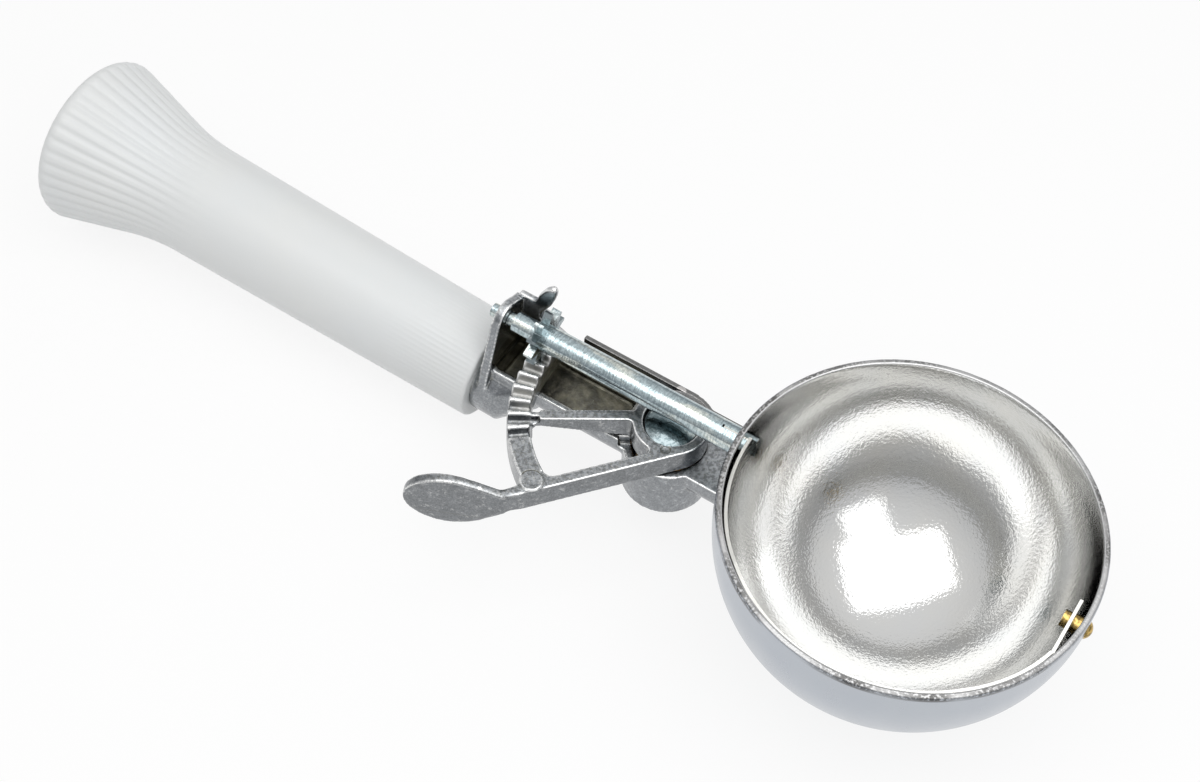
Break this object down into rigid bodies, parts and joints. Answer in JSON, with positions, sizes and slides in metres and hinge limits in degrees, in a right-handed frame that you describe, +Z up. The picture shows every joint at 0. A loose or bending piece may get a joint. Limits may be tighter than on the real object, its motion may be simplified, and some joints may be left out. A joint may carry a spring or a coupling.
{
  "type": "lever ice cream scoop",
  "caption": "Ice cream disher with a round metal bowl, a thumb lever whose toothed arc turns a scraper blade inside the bowl, and a flared white grip.",
  "frame": {"origin": "under the middle of the scoop's outer box, at the level it stands on (the lowest point of the bowl and grip)", "axes": "+X from the grip to the bowl, +Z up out of the bowl's mouth, +Y away from the thumb lever"},
  "size_m": [0.2474, 0.0808, 0.0477],
  "materials": {
    "grip": "moulded white plastic with fine lengthwise flutes",
    "casting": "nickel-chrome plate over a die casting, grainy on top, bright on the edges",
    "bowl": "polished and brushed round",
    "zinc": "zinc plate with a slight yellow and blue sheen",
    "blade": "thin sheet, brushed",
    "brass": "turned brass",
    "spring": "drawn spring wire, straw coloured"
  },
  "bodies": {
    "frame": {"grip": "grip", "frame_casting": "casting", "bowl": "bowl", "neck_braze": "casting", "pivot_stud": "zinc", "lever_spring": "spring", "tip_rivet": "brass", "tip_collar": "brass"},
    "lever": {"thumb_lever": "casting"},
    "scraper": {"scraper_shaft": "zinc", "pinion": "zinc", "scraper_blade": "blade"}
  },
  "joints": [
    {"name": "lever_hinge", "type": "hinge", "parent": "frame", "child": "lever", "pos_m": [0.03151, 0.00244, 0.0266], "axis": [0, 0, -1], "range_deg": [0, 29.17], "stiffness_Nm_per_rad": 0.25, "springref_deg": -17.19, "deforming": ["lever_spring"]},
    {"name": "scraper_hinge", "type": "hinge", "parent": "frame", "child": "scraper", "pos_m": [0.00031, 0.00244, 0.038], "axis": [1, 0, 0], "range_deg": [0, 175]}
  ],
  "couplings": [
    {"joint": "scraper_hinge", "follows": "lever_hinge", "ratio": 6}
  ]
}
